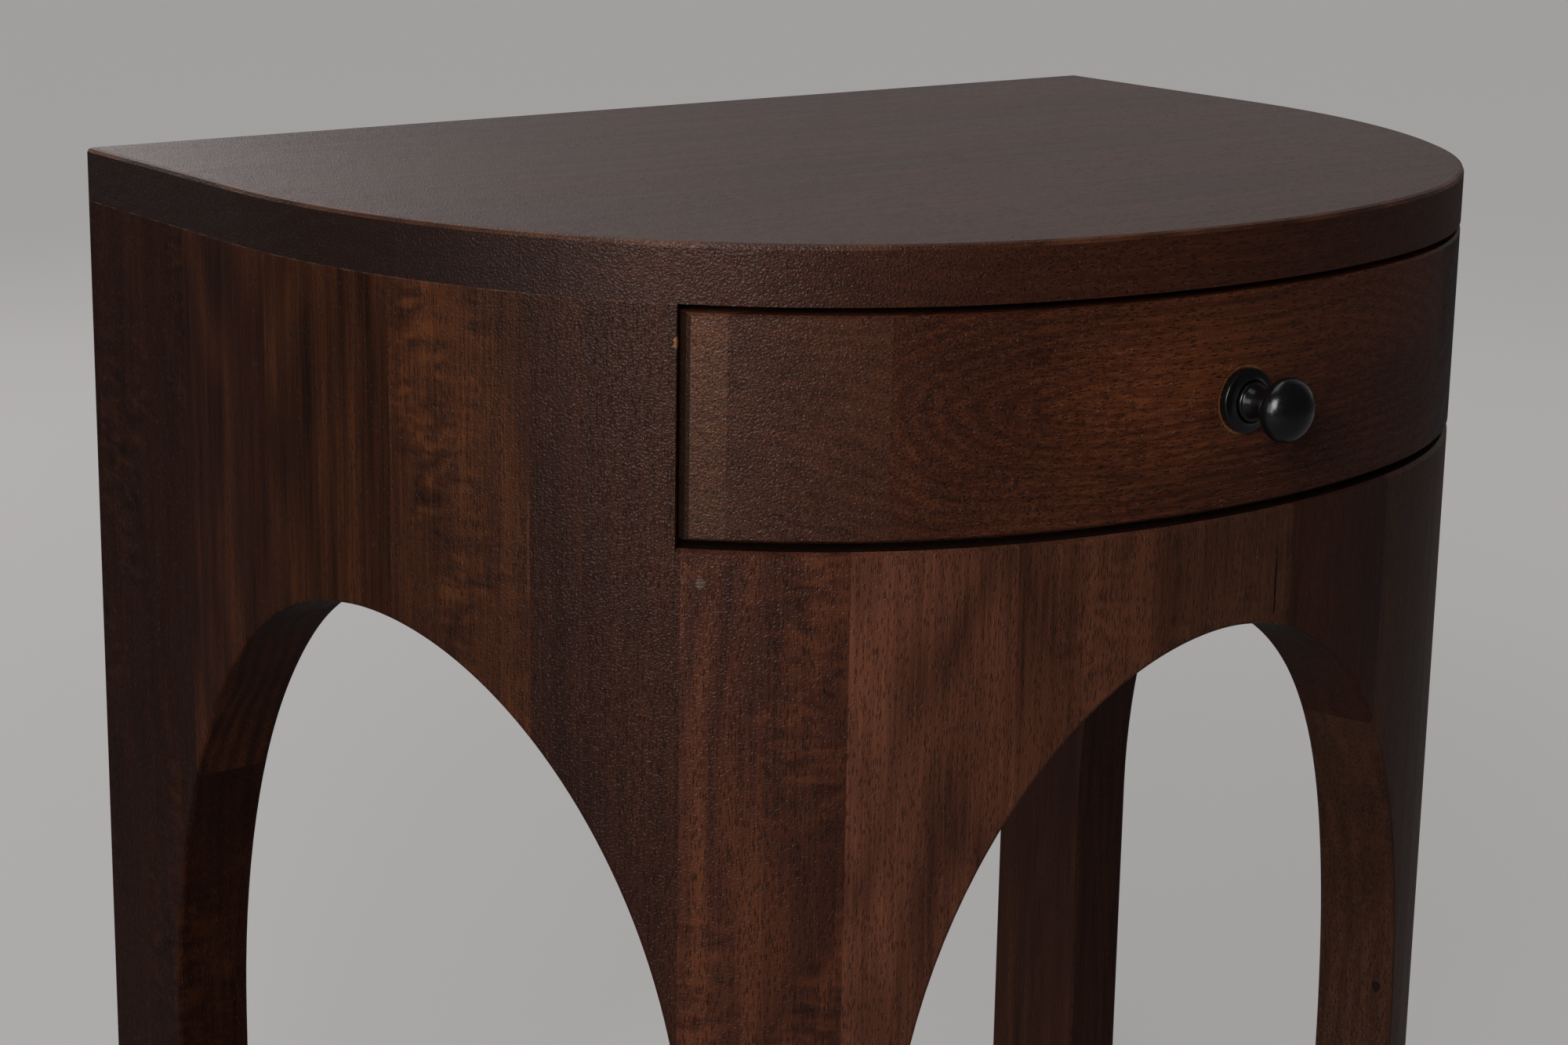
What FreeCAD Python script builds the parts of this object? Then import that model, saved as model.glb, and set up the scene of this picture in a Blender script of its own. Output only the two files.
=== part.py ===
import FreeCAD, Part
import math
import os

# Demilune side table: a coopered D-shaped wall cut into arches and legs, with a bow-front drawer

Vector = FreeCAD.Vector

# Driving dimensions, in millimetres and degrees
WIDTH = 559.0
DEPTH = 406.0
HEIGHT = 610.0
TOP_THICKNESS = 22.5
WALL = 33.0
SIDE_ARC_RADIUS = 307.0
SIDE_ARC_TURN = math.radians(31.7)
SHOULDER_RADIUS = 229.0
SHOULDER_TURN = math.radians(42.2)

# Glue joints of the top boards, measured forward from the back
TOP_JOINTS = (108.0, 228.0, 347.0)
TOP_EASE = 2.0

# Glue joints between staves, measured along the wall from the front centre to each side
STAVE_JOINTS = (32.5, 100.0, 164.0, 226.0, 284.5, 347.5, 420.5, 487.0)

# Arches, in distances along the wall and heights above the floor
ARCH_HALF_WIDTH = 144.5
ARCH_SPRING = 234.0
FRONT_ARCH_RISE = 219.0
SIDE_ARCH_RISE = 223.0
SIDE_ARCH_CENTRE = 366.0
ARCH_SECTIONS = 16
EDGE_EASE = 1.6
INNER_EASE = 1.2

# Drawer opening and drawer
OPENING_HALF_WIDTH = 206.0
OPENING_HEIGHT = 90.0
OPENING_EASE = 1.5
FRONT_SIDE_GAP = 1.8
FRONT_TOP_GAP = 3.0
FRONT_BOTTOM_GAP = 3.5
FRONT_THICKNESS = 26.0
FRONT_BOARD = 34.0
FRONT_BOARDS = 3
FRONT_PLANED = 2.0
FRONT_EASE = 1.0
BOX_HALF_WIDTH = 203.0
BOX_THICKNESS = 12.0
BOX_TOP_DROP = 12.5
BOX_REAR = 33.0
SLIDE_CLEARANCE = 0.3
PANEL_THICKNESS = 6.0
PANEL_RAISE = 10.0
GROOVE_DEPTH = 6.0
GROOVE_SLACK = 0.5
TAILS = 3
TAIL_SLOPE = 1.0 / 7.0
TAIL_SHARE = 0.6
FRONT_TAIL_LENGTH = 17.0

# Knob, with distances along its axis measured from the drawer face
KNOB_SEAT = 0.4
KNOB_REACH = 31.0
KNOB_RADIUS = 12.5
SEAT_RADIUS = 13.1
BACKPLATE_BORE = 2.5
BACKPLATE_HEIGHT = 5.0
SCREW_RADIUS = 2.0
SCREW_HEAD_RADIUS = 4.0
SCREW_HEAD_HEIGHT = 2.6
SCREW_BITE = 14.0
SPOT_DEPTH = 1.2
SPOT_RADIUS = 5.0

# Carriage that the drawer slides in
RAIL_THICKNESS = 20.0
RAIL_HEIGHT = 130.0
TENON_LENGTH = 20.0
TENON_THICKNESS = 10.0
TENON_SHOULDER = 15.0
RUNNER_THICKNESS = 20.0
RUNNER_INNER = 185.0
GUIDE_GAP = 1.0
GUIDE_WIDTH = 13.0
GUIDE_HEIGHT = 20.0
KICKER_WIDTH = 24.0
STOP_HEIGHT = 30.0
STOP_CLEARANCE = 0.5

# Small hardware
DOWEL_RADIUS = 4.0
DOWEL_LENGTH = 30.0
DOWEL_STATIONS = (315.0, 540.0)
GLIDE_RADIUS = 10.0
GLIDE_HEIGHT = 4.0
GLIDE_STATIONS = (183.0, 541.0)

# Spare length that cutters reach past what they cut, and how near counts as touching
REACH = 12.0
NEAR = 0.02

# How far the middle of an eased edge stands back, as a share of its size
EASE_MIDDLE = 1 - math.sqrt(0.5)

# Values worked out from the dimensions above
HALF_WIDTH = WIDTH / 2
BACK_Y = (DEPTH + KNOB_REACH - KNOB_SEAT) / 2
FRONT_Y = BACK_Y - DEPTH
WALL_TOP = HEIGHT - TOP_THICKNESS
LEDGE = WALL_TOP - OPENING_HEIGHT
SWEEP = SIDE_ARC_TURN + SHOULDER_TURN
FRONT_RADIUS = (
    HALF_WIDTH
    - SIDE_ARC_RADIUS * (1 - math.cos(SIDE_ARC_TURN))
    - SHOULDER_RADIUS * (math.cos(SIDE_ARC_TURN) - math.cos(SWEEP))
) / math.cos(SWEEP)
SIDE_LENGTH = (
    DEPTH
    - SIDE_ARC_RADIUS * math.sin(SIDE_ARC_TURN)
    - SHOULDER_RADIUS * (math.sin(SWEEP) - math.sin(SIDE_ARC_TURN))
    - FRONT_RADIUS * (1 - math.sin(SWEEP))
)

# Arcs of the half outline from the front centre to the straight side
OUTLINE_ARCS = (
    (FRONT_RADIUS, math.pi / 2 - SWEEP),
    (SHOULDER_RADIUS, SHOULDER_TURN),
    (SIDE_ARC_RADIUS, SIDE_ARC_TURN),
)
ARC_LENGTHS = [radius * turn for radius, turn in OUTLINE_ARCS]
ARC_ENDS = [sum(ARC_LENGTHS[:count]) for count in range(len(ARC_LENGTHS) + 1)]
HALF_LENGTH = ARC_ENDS[-1] + SIDE_LENGTH

# Heights and places of the drawer's pieces
FRONT_BOTTOM = LEDGE + FRONT_BOTTOM_GAP
FRONT_TOP = WALL_TOP - FRONT_TOP_GAP
FRONT_MIDDLE = (FRONT_BOTTOM + FRONT_TOP) / 2
FRONT_SEAT_Y = FRONT_Y + FRONT_BOARDS * FRONT_BOARD - FRONT_PLANED
BOX_BOTTOM = LEDGE + SLIDE_CLEARANCE
BOX_TOP = WALL_TOP - BOX_TOP_DROP
BOX_REAR_Y = BACK_Y - BOX_REAR
BOX_INNER = BOX_HALF_WIDTH - BOX_THICKNESS
PANEL_BOTTOM = BOX_BOTTOM + PANEL_RAISE
PANEL_TOP = PANEL_BOTTOM + PANEL_THICKNESS
RAIL_FRONT_Y = BACK_Y - RAIL_THICKNESS


def wall_point(along, inset=0.0, z=0.0):
    """A point of the wall: distance along the outside from the front centre, depth inwards, height."""
    left = abs(along)
    x, y, heading = 0.0, FRONT_Y, 0.0
    for radius, turn in OUTLINE_ARCS:
        step = min(turn, left / radius)
        x += radius * (math.sin(heading + step) - math.sin(heading))
        y += radius * (math.cos(heading) - math.cos(heading + step))
        heading += step
        left -= radius * step
    y += max(left, 0.0)
    x -= inset * math.sin(heading)
    y += inset * math.cos(heading)
    return Vector(math.copysign(x, along), y, z)


def wall_edges(start, end, inset, z):
    """Arcs and lines that follow the wall at one depth and height."""
    breaks = {sign * mark for mark in ARC_ENDS[1:] for sign in (-1, 1)}
    stops = [start] + sorted(mark for mark in breaks if start < mark < end) + [end]
    edges = []
    for near, far in zip(stops, stops[1:]):
        first = wall_point(near, inset, z)
        middle = wall_point((near + far) / 2, inset, z)
        last = wall_point(far, inset, z)
        straight = abs(near + far) / 2 > ARC_ENDS[-1]
        if straight:
            edges.append(Part.makeLine(first, last))
        else:
            edges.append(Part.Arc(first, middle, last).toShape())
    return edges


def wall_sector(start, end, outer, inner, bottom, top):
    """Solid stretch of wall between two places along it, from one depth to another."""
    edges = wall_edges(start, end, outer, bottom) + wall_edges(start, end, inner, bottom)
    for along in (start, end):
        edges.append(Part.makeLine(wall_point(along, outer, bottom), wall_point(along, inner, bottom)))
    face = Part.Face(Part.Wire(Part.__sortEdges__(edges)))
    return face.extrude(Vector(0, 0, top - bottom))


def d_outline(inset, back_inset, z):
    """Closed D along the wall at one depth, with the straight back at a depth of its own."""
    end = HALF_LENGTH - back_inset
    edges = wall_edges(-end, end, inset, z)
    edges.append(Part.makeLine(wall_point(-end, inset, z), wall_point(end, inset, z)))
    return Part.Wire(Part.__sortEdges__(edges))


def d_plate(inset, bottom, top):
    """Solid D with the outline of the wall at one depth, closed by the straight back."""
    return Part.Face(d_outline(inset, 0.0, bottom)).extrude(Vector(0, 0, top - bottom))


def box(low, high):
    """Block between two corners."""
    return Part.makeBox(high[0] - low[0], high[1] - low[1], high[2] - low[2], Vector(*low))


def mirrored(shape):
    """The same piece on the other side of the table."""
    return shape.mirror(Vector(0, 0, 0), Vector(1, 0, 0))


def middle_of(edge):
    """The point half way along an edge."""
    return edge.valueAt((edge.FirstParameter + edge.LastParameter) / 2)


def touches(point, shape):
    """Whether a point lies on a shape."""
    return Part.Vertex(point).distToShape(shape)[0] < NEAR


def arch_point(arch, angle, widen, inset):
    """A point round an arch, at a distance outside its edge and a depth into the wall."""
    centre, rise = arch
    along = centre + (ARCH_HALF_WIDTH + widen) * math.cos(angle)
    return wall_point(along, inset, ARCH_SPRING + (rise + widen) * math.sin(angle))


def arch_angles():
    """Places of the sections round an arch, closest together at the two springings."""
    shares = [count / ARCH_SECTIONS for count in range(ARCH_SECTIONS + 1)]
    return [math.pi * (1 - math.cos(math.pi * share)) / 2 for share in shares]


def arch_section(arch, angle, corners):
    """Closed outline of a cutter where it crosses the wall at one place round an arch."""
    points = [arch_point(arch, angle, widen, inset) for widen, inset in corners]
    return Part.makePolygon(points + points[:1])


def along_arch(arch, corners):
    """Cutter that follows an arch round its head and down both jambs."""
    sections = [arch_section(arch, angle, corners) for angle in arch_angles()]
    down = Vector(0, 0, -ARCH_SPRING - REACH)
    jambs = [Part.Face(section).extrude(down) for section in (sections[0], sections[-1])]
    return [Part.makeLoft(sections, True, False)] + jambs


def doorway(arch):
    """Half-elliptic doorway through the wall, square to it all along, with straight jambs to the floor."""
    sections = []
    for angle in arch_angles():
        near = arch_point(arch, angle, 0.0, -REACH)
        far = arch_point(arch, angle, 0.0, WALL + REACH)
        corners = [Vector(near.x, near.y, -REACH), Vector(far.x, far.y, -REACH), far, near]
        sections.append(Part.makePolygon(corners + corners[:1]))
    return Part.makeLoft(sections, True, False)


def outer_corner():
    """Outline of what is taken off an outer arris: two small flats, which run on past the wall's faces."""
    middle = EDGE_EASE * EASE_MIDDLE
    past = 2 * middle
    far = 3 * EDGE_EASE - past
    return [(far, -past), (middle, middle), (-past, far), (-past, -past)]


def inner_corner():
    """Outline of what is taken off an inner arris: one small flat, which runs on past the wall's faces."""
    past = INNER_EASE
    far = INNER_EASE + past
    return [(far, WALL + past), (-past, WALL - far), (-past, WALL + past)]


def arch_cutters(arch):
    """The doorway and the easing of its outer and inner arrises."""
    return [doorway(arch)] + along_arch(arch, outer_corner()) + along_arch(arch, inner_corner())


def wall_skin(inset):
    """The wall's face at one depth as a thin sheet, for finding what lies on it."""
    edges = wall_edges(-HALF_LENGTH, HALF_LENGTH, inset, 0)
    return Part.Compound([edge.extrude(Vector(0, 0, HEIGHT)) for edge in edges])


def drawer_opening():
    """Straight-sided cut from the ledge to the top, for the drawer."""
    low = (-OPENING_HALF_WIDTH, FRONT_Y - REACH, LEDGE)
    high = (OPENING_HALF_WIDTH, FRONT_Y + DEPTH / 2, HEIGHT + REACH)
    return box(low, high)


def opening_edges(wall):
    """Edges of the wall's outer face along the ledge and the sides of the drawer opening."""
    skin = wall_skin(0.0)
    found = []
    for edge in wall.Edges:
        point = middle_of(edge)
        on_ledge = abs(point.z - LEDGE) < NEAR
        on_side = point.z > LEDGE and abs(abs(point.x) - OPENING_HALF_WIDTH) < NEAR
        if (on_ledge or on_side) and touches(point, skin):
            found.append(edge)
    return found


def whole_wall():
    """The wall in one piece, with its drawer opening and arches, before it is cut into staves."""
    wall = wall_sector(-HALF_LENGTH, HALF_LENGTH, 0.0, WALL, GLIDE_HEIGHT, WALL_TOP)
    wall = wall.cut(drawer_opening())
    wall = wall.makeChamfer(OPENING_EASE, opening_edges(wall))
    arches = [
        (0.0, FRONT_ARCH_RISE),
        (-SIDE_ARCH_CENTRE, SIDE_ARCH_RISE),
        (SIDE_ARCH_CENTRE, SIDE_ARCH_RISE),
    ]
    for arch in arches:
        for cutter in arch_cutters(arch):
            wall = wall.cut(cutter)
    return wall


def dowels():
    """Dowels that stand half in the wall and half in the top."""
    pins = []
    for station in DOWEL_STATIONS:
        for side in (-1, 1):
            foot = wall_point(side * station, WALL / 2, WALL_TOP - DOWEL_LENGTH / 2)
            pins.append(Part.makeCylinder(DOWEL_RADIUS, DOWEL_LENGTH, foot))
    return Part.Compound(pins)


def glides():
    """Round glides under the middle of each leg."""
    pads = []
    for station in GLIDE_STATIONS:
        for side in (-1, 1):
            pads.append(Part.makeCylinder(GLIDE_RADIUS, GLIDE_HEIGHT, wall_point(side * station, WALL / 2)))
    return Part.Compound(pads)


def rail_tenons():
    """Tenons at both ends of the back rail."""
    reach = HALF_WIDTH - WALL + TENON_LENGTH
    middle_y = BACK_Y - RAIL_THICKNESS / 2
    low = (-reach, middle_y - TENON_THICKNESS / 2, WALL_TOP - RAIL_HEIGHT + TENON_SHOULDER)
    high = (reach, middle_y + TENON_THICKNESS / 2, WALL_TOP - TENON_SHOULDER)
    return box(low, high)


def back_rail():
    """Rail between the back legs, under the top."""
    reach = HALF_WIDTH - WALL
    rail = box((-reach, RAIL_FRONT_Y, WALL_TOP - RAIL_HEIGHT), (reach, BACK_Y, WALL_TOP))
    return rail.fuse(rail_tenons()).removeSplitter()


def staves():
    """Cuts the wall at its glue joints into one stave at the front and eight on each side."""
    wall = whole_wall().cut(rail_tenons())
    wall = wall.cut(dowels())
    stops = (0.0,) + STAVE_JOINTS + (HALF_LENGTH,)
    pieces = {}
    for count, (near, far) in enumerate(zip(stops, stops[1:])):
        if count == 0:
            spans = {"stave_front_centre": (-far, far)}
        else:
            spans = {f"stave_left_{count}": (-far, -near), f"stave_right_{count}": (near, far)}
        for name, (start, end) in spans.items():
            wedge = wall_sector(start, end, -REACH, WALL + REACH, -REACH, HEIGHT)
            pieces[name] = wall.common(wedge)
    return pieces


def top_plate():
    """D-shaped top in one piece, with its upper rim eased by two small flats."""
    middle = TOP_EASE * EASE_MIDDLE
    levels = [(WALL_TOP, 0.0), (HEIGHT - TOP_EASE, 0.0), (HEIGHT - middle, middle), (HEIGHT, TOP_EASE)]
    return Part.makeLoft([d_outline(inset, inset, z) for z, inset in levels], True, True)


def top_boards():
    """Cuts the top at its glue joints into boards."""
    top = top_plate().cut(dowels())
    names = ("top_board_back", "top_board_middle_back", "top_board_middle_front", "top_board_front")
    stops = (-REACH,) + TOP_JOINTS + (DEPTH + REACH,)
    boards = {}
    for name, near, far in zip(names, stops, stops[1:]):
        low = (-WIDTH, BACK_Y - far, WALL_TOP - REACH)
        high = (WIDTH, BACK_Y - near, HEIGHT + REACH)
        boards[name] = top.common(box(low, high))
    return boards


def tails(root_y, tip_y, low, high):
    """Dovetails on the end of the left drawer side, wider at their tips."""
    pitch = (high - low) / TAILS
    flare = abs(tip_y - root_y) * TAIL_SLOPE
    shapes = []
    for count in range(TAILS):
        middle = low + pitch * (count + 0.5)
        root = pitch * TAIL_SHARE / 2
        outline = [
            Vector(-BOX_HALF_WIDTH, root_y, middle - root),
            Vector(-BOX_HALF_WIDTH, tip_y, middle - root - flare),
            Vector(-BOX_HALF_WIDTH, tip_y, middle + root + flare),
            Vector(-BOX_HALF_WIDTH, root_y, middle + root),
        ]
        face = Part.Face(Part.makePolygon(outline + outline[:1]))
        shapes.append(face.extrude(Vector(BOX_THICKNESS, 0, 0)))
    return Part.Compound(shapes)


def front_tails():
    """Tails that lie blind in the end of the drawer front."""
    return tails(FRONT_SEAT_Y, FRONT_SEAT_Y - FRONT_TAIL_LENGTH, FRONT_BOTTOM, BOX_TOP)


def rear_tails():
    """Tails that pass through the drawer back."""
    return tails(BOX_REAR_Y - BOX_THICKNESS, BOX_REAR_Y, PANEL_TOP, BOX_TOP)


def bottom_panel(inner_slack):
    """Drawer bottom: its front edge follows the bow, and it runs in grooves in the front and sides."""
    half = BOX_INNER + GROOVE_DEPTH - inner_slack
    bow = d_plate(FRONT_THICKNESS - GROOVE_DEPTH + inner_slack, PANEL_BOTTOM, PANEL_TOP)
    field = box((-half, FRONT_Y, PANEL_BOTTOM), (half, BOX_REAR_Y, PANEL_TOP))
    panel = bow.common(field)
    seat_edge = box((BOX_INNER, FRONT_Y, PANEL_BOTTOM), (half, FRONT_SEAT_Y + inner_slack, PANEL_TOP))
    return panel.cut(seat_edge).cut(mirrored(seat_edge))


def knob_axis_point(out, radius):
    """A point of a profile turned about the knob's axis."""
    return Vector(radius, FRONT_Y - out, FRONT_MIDDLE)


def turned(outline):
    """Solid turned about the knob's axis from a closed outline."""
    return Part.Face(outline).revolve(Vector(0, 0, FRONT_MIDDLE), Vector(0, 1, 0), 360)


def profile(points):
    """Closed outline through the knob profile's points, each a distance out along the axis and a radius."""
    places = [knob_axis_point(out, radius) for out, radius in points]
    return Part.makePolygon(places + places[:1])


def knob_backplate():
    """Stepped round plate between the knob and the drawer front."""
    seat = -KNOB_SEAT
    flange = [(seat, BACKPLATE_BORE), (seat, KNOB_RADIUS), (2.6, KNOB_RADIUS)]
    collar = [(BACKPLATE_HEIGHT, 8.0), (BACKPLATE_HEIGHT, BACKPLATE_BORE)]
    return turned(profile(flange + collar))


def knob_body():
    """Knob with a round foot, a waisted neck and a domed head."""
    crown = KNOB_REACH - KNOB_SEAT
    bore_end = SCREW_BITE - KNOB_SEAT
    bore = [(bore_end, 0.0), (bore_end, SCREW_RADIUS), (BACKPLATE_HEIGHT, SCREW_RADIUS)]
    foot = [(BACKPLATE_HEIGHT, 6.6), (6.4, 6.6)]
    neck = [(8.8, 4.9), (12.6, 4.9), (16.4, 9.2)]
    head = [(20.4, KNOB_RADIUS), (23.4, KNOB_RADIUS)]
    dome = [(27.6, 10.2), (crown, 4.4), (crown, 0.0)]
    return turned(profile(bore + foot + neck + head + dome))


def knob_screw():
    """Screw from inside the drawer, through the front and into the knob."""
    inside = SPOT_DEPTH - FRONT_THICKNESS
    tip = SCREW_BITE - KNOB_SEAT
    outline = [
        (tip, 0.0),
        (tip, SCREW_RADIUS),
        (inside, SCREW_RADIUS),
        (inside, SCREW_HEAD_RADIUS),
        (inside - SCREW_HEAD_HEIGHT, SCREW_HEAD_RADIUS),
        (inside - SCREW_HEAD_HEIGHT, 0.0),
    ]
    return turned(profile(outline))


def front_block():
    """Bow-front drawer block in one piece, with eased edges, groove, dovetail sockets and knob seat."""
    half = OPENING_HALF_WIDTH - FRONT_SIDE_GAP
    ring = d_plate(0.0, FRONT_BOTTOM, FRONT_TOP).cut(d_plate(FRONT_THICKNESS, FRONT_BOTTOM, FRONT_TOP))
    field = box((-half, FRONT_Y - REACH, FRONT_BOTTOM - REACH), (half, FRONT_SEAT_Y, FRONT_TOP + REACH))
    block = ring.common(field)
    skin = wall_skin(0.0)
    rim = []
    for edge in block.Edges:
        point = middle_of(edge)
        level = abs(point.z - FRONT_MIDDLE) > NEAR
        if touches(point, skin) and (level or abs(abs(point.x) - half) < NEAR):
            rim.append(edge)
    block = block.makeChamfer(FRONT_EASE, rim)
    for cutter in (front_tails(), mirrored(front_tails()), bottom_panel(0.0)):
        block = block.cut(cutter)
    seat = turned(profile([(REACH, 0.0), (-KNOB_SEAT, 0.0), (-KNOB_SEAT, SEAT_RADIUS), (REACH, SEAT_RADIUS)]))
    inside = SPOT_DEPTH - FRONT_THICKNESS
    spot = turned(profile([(inside, 0.0), (-DEPTH, 0.0), (-DEPTH, SPOT_RADIUS), (inside, SPOT_RADIUS)]))
    for cutter in (seat, spot, knob_screw()):
        block = block.cut(cutter)
    return block


def drawer_front():
    """Cuts the block at its glue planes into a centre piece, two middle pieces and two end pieces."""
    block = front_block()
    planes = [FRONT_SEAT_Y - FRONT_BOARD * count for count in range(FRONT_BOARDS + 1)]
    planes[0] += REACH
    planes[-1] -= REACH
    pieces = {}
    for name, near, far in zip(("end", "middle", "centre"), planes, planes[1:]):
        slab = block.common(box((-WIDTH, far, 0), (WIDTH, near, HEIGHT)))
        if name == "centre":
            pieces["drawer_front_centre"] = slab
        else:
            left, right = sorted(slab.Solids, key=lambda solid: solid.CenterOfMass.x)
            pieces[f"drawer_front_left_{name}"] = left
            pieces[f"drawer_front_right_{name}"] = right
    return pieces


def drawer_side():
    """Left drawer side with its tails and the groove for the bottom."""
    low = (-BOX_HALF_WIDTH, FRONT_SEAT_Y, BOX_BOTTOM)
    high = (-BOX_INNER, BOX_REAR_Y - BOX_THICKNESS, BOX_TOP)
    side = box(low, high)
    under_back = box((low[0], high[1], BOX_BOTTOM), (-BOX_INNER, BOX_REAR_Y, PANEL_TOP))
    side = side.fuse([under_back, front_tails(), rear_tails()]).removeSplitter()
    return side.cut(bottom_panel(0.0))


def drawer_back():
    """Drawer back, which stands on the bottom panel and fills the gaps between the tails."""
    low = (-BOX_HALF_WIDTH, BOX_REAR_Y - BOX_THICKNESS, PANEL_TOP)
    high = (BOX_HALF_WIDTH, BOX_REAR_Y, BOX_TOP)
    return box(low, high).cut(rear_tails()).cut(mirrored(rear_tails()))


def runner():
    """Left runner: its top is level with the ledge, and its outer edge is scribed to the wall."""
    low = (-HALF_WIDTH, FRONT_Y, LEDGE - RUNNER_THICKNESS)
    high = (-RUNNER_INNER, RAIL_FRONT_Y, LEDGE)
    inside = d_plate(WALL, LEDGE - RUNNER_THICKNESS, LEDGE)
    return box(low, high).common(inside)


def guide():
    """Left guide strip beside the drawer side."""
    inner = BOX_HALF_WIDTH + GUIDE_GAP
    low = (-inner - GUIDE_WIDTH, FRONT_Y, LEDGE)
    high = (-inner, RAIL_FRONT_Y, LEDGE + GUIDE_HEIGHT)
    return box(low, high).common(d_plate(WALL, LEDGE, LEDGE + GUIDE_HEIGHT)).cut(drawer_opening())


def kicker():
    """Left strip under the top that keeps the open drawer from tipping."""
    bottom = BOX_TOP + SLIDE_CLEARANCE
    low = (-BOX_INNER - KICKER_WIDTH, FRONT_SEAT_Y + REACH, bottom)
    high = (-BOX_INNER, RAIL_FRONT_Y, WALL_TOP)
    return box(low, high).common(d_plate(WALL, bottom, WALL_TOP))


def stop_block():
    """Left block on the runner that stops the closing drawer."""
    low = (-BOX_HALF_WIDTH, BOX_REAR_Y + STOP_CLEARANCE, LEDGE)
    high = (-BOX_INNER, RAIL_FRONT_Y, LEDGE + STOP_HEIGHT)
    return box(low, high)


def all_parts():
    """Every node of the table by name."""
    parts = {}
    parts.update(top_boards())
    parts.update(staves())
    parts.update(drawer_front())
    pairs = {
        "drawer_side": drawer_side(),
        "runner": runner(),
        "guide": guide(),
        "kicker": kicker(),
        "stop_block": stop_block(),
    }
    for name, shape in pairs.items():
        parts[f"{name}_left"] = shape
        parts[f"{name}_right"] = mirrored(shape)
    parts["drawer_back"] = drawer_back()
    parts["drawer_bottom"] = bottom_panel(GROOVE_SLACK)
    parts["knob"] = knob_body()
    parts["knob_backplate"] = knob_backplate()
    parts["knob_screw"] = knob_screw()
    parts["back_rail"] = back_rail()
    parts["top_dowels"] = dowels()
    parts["foot_glides"] = glides()
    return parts


def main():
    """Builds every node and writes each to a file of its own."""
    os.makedirs("parts", exist_ok=True)
    for name, shape in all_parts().items():
        shape.exportStep(f"parts/{name}.step")
        print(name, "valid" if shape.isValid() else "INVALID", len(shape.Solids), round(shape.Volume))


main()
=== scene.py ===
import math

import bmesh
import bpy
from mathutils import Matrix, Vector


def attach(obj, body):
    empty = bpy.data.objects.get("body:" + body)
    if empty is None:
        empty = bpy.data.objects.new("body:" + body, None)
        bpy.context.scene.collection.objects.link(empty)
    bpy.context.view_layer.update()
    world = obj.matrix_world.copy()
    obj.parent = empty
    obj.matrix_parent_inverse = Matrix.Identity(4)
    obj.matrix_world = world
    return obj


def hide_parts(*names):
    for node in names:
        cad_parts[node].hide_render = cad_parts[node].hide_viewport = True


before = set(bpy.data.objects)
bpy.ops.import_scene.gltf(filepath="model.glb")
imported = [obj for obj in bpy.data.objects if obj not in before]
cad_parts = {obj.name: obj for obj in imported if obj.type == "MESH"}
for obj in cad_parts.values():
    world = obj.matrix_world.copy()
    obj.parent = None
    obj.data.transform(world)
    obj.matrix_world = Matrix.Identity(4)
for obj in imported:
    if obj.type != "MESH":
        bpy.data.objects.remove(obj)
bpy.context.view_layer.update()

# Places on the table, in metres
FRONT_Y = -0.1877
KNOB_Z = 0.54275
WALL_TOP = 0.5875
PLATE_RADIUS = 0.0125

# Facets round the knob, and steps between two points of its outline
KNOB_TURNS = 96
OUTLINE_STEPS = 6

# The camera that took the photograph
CAMERA_PLACE = (-0.8395, -1.0003, 0.7913)
CAMERA_YAW = math.radians(37.396)
CAMERA_PITCH = math.radians(13.387)
CAMERA_ROLL = math.radians(0.972)
CAMERA_LENS = 71.8
CAMERA_SENSOR = 36.0
CAMERA_SHIFT = -0.04

# Wood tones from the darkest grain to the lightest, and where they lie on the ramp
TONES = {
    "plum": ((0.0085, 0.0030, 0.0022), (0.0180, 0.0060, 0.0040), (0.0320, 0.0108, 0.0066)),
    "brown": ((0.0125, 0.0042, 0.0026), (0.0330, 0.0108, 0.0056), (0.0620, 0.0210, 0.0096)),
    "orange": ((0.0120, 0.0036, 0.0017), (0.0400, 0.0118, 0.0044), (0.0920, 0.0280, 0.0084)),
    "red": ((0.0130, 0.0037, 0.0021), (0.0350, 0.0100, 0.0046), (0.0640, 0.0188, 0.0076)),
    "chestnut": ((0.0160, 0.0055, 0.0032), (0.0470, 0.0155, 0.0080), (0.0800, 0.0270, 0.0135)),
    "umber": ((0.0210, 0.0080, 0.0044), (0.0540, 0.0200, 0.0100), (0.0880, 0.0350, 0.0175)),
    "bare": ((0.260, 0.1550, 0.0800), (0.400, 0.2600, 0.1450), (0.500, 0.3500, 0.2150)),
    "ply": ((0.330, 0.2150, 0.1250), (0.470, 0.3300, 0.2050), (0.560, 0.4200, 0.2800)),
}
TONE_STOPS = (0.28, 0.5, 0.72)
UNSTAINED = ("bare", "ply")

# Colours in and on the wood
END_GRAIN = (0.007, 0.0030, 0.0020, 1.0)
WORN_EDGE = (0.080, 0.0310, 0.0140, 1.0)
PORE_DARK = (0.006, 0.0026, 0.0020, 1.0)
# Pale flecks: partly dust in the pores, partly painted glints of light
GLINT_FLECK_PALE = (0.220, 0.1900, 0.1800, 1.0)
RAW_WOOD = (0.160, 0.0700, 0.0280, 1.0)
SEAM_PALE = (0.075, 0.0380, 0.0260, 1.0)
FILLER_PALE = (0.060, 0.0360, 0.0250, 1.0)

# Each board's grain is taken this much further along the tree, times its seed
SEED_SHIFT = (0.37, 0.61, 1.13)

# First seed of each group of boards
STAVE_SEED = 1
TOP_SEED = 31
FRONT_SEED = 41
RAIL_SEED = 51
INSIDE_SEED = 61
BOTTOM_SEED = 71

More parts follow.
